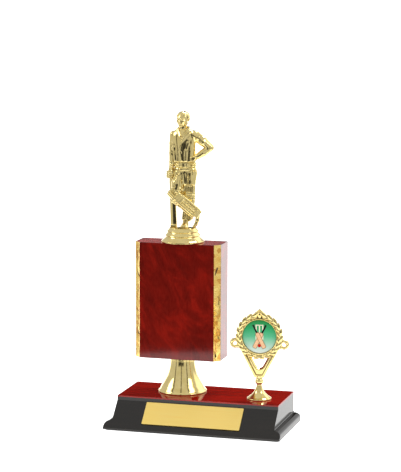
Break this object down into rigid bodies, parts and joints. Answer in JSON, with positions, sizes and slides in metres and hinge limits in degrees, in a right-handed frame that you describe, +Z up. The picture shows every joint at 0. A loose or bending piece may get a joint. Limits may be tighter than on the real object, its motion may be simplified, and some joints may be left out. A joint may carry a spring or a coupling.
{
  "type": "column trophy",
  "caption": "Trophy with a wooden base, laminated column, gilt cricketer on a stepped plinth and a wreathed medal holder beside it.",
  "frame": {"origin": "middle of the underside of the base, on the surface it stands on", "axes": "+Z up, the sloping front with the engraving plate faces -Y, the medal holder is towards +X"},
  "size_m": [0.1358, 0.069, 0.2354],
  "materials": {
    "felt": "matt felt",
    "black_gloss_wood": "high gloss black",
    "red_gloss_wood": "high gloss red wood grain",
    "red_burl_wood": "high gloss red burl",
    "fibreboard": "raw",
    "gold_plate": "satin",
    "gold_plastic": "vacuum metallised, polished",
    "gold_foil": "embossed foil",
    "tape": "matt",
    "steel": "zinc plated",
    "print": "gloss printed"
  },
  "bodies": {
    "root": {"base_felt": "felt", "plinth_body": "black_gloss_wood", "plinth_top_laminate": "red_gloss_wood", "engraving_plate": "gold_plate", "engraving_plate_tape": "tape", "tie_rod": "steel", "tie_rod_nut": "steel", "tie_rod_washer": "steel", "tie_rod_lock_washer": "steel", "figure_nut": "steel", "riser": "gold_plastic", "column_core": "fibreboard", "column_front_laminate": "red_burl_wood", "column_back_laminate": "red_burl_wood", "column_left_edge_laminate": "red_burl_wood", "column_right_edge_laminate": "red_burl_wood", "column_top_laminate": "red_burl_wood", "column_bottom_laminate": "red_burl_wood", "column_left_trim": "gold_foil", "column_right_trim": "gold_foil", "figure_plinth": "gold_plastic", "figure": "gold_plastic", "medal_holder": "gold_plastic", "medal_disc": "print", "medal_disc_tape": "tape", "holder_screw": "steel", "holder_washer": "steel"}
  },
  "joints": []
}
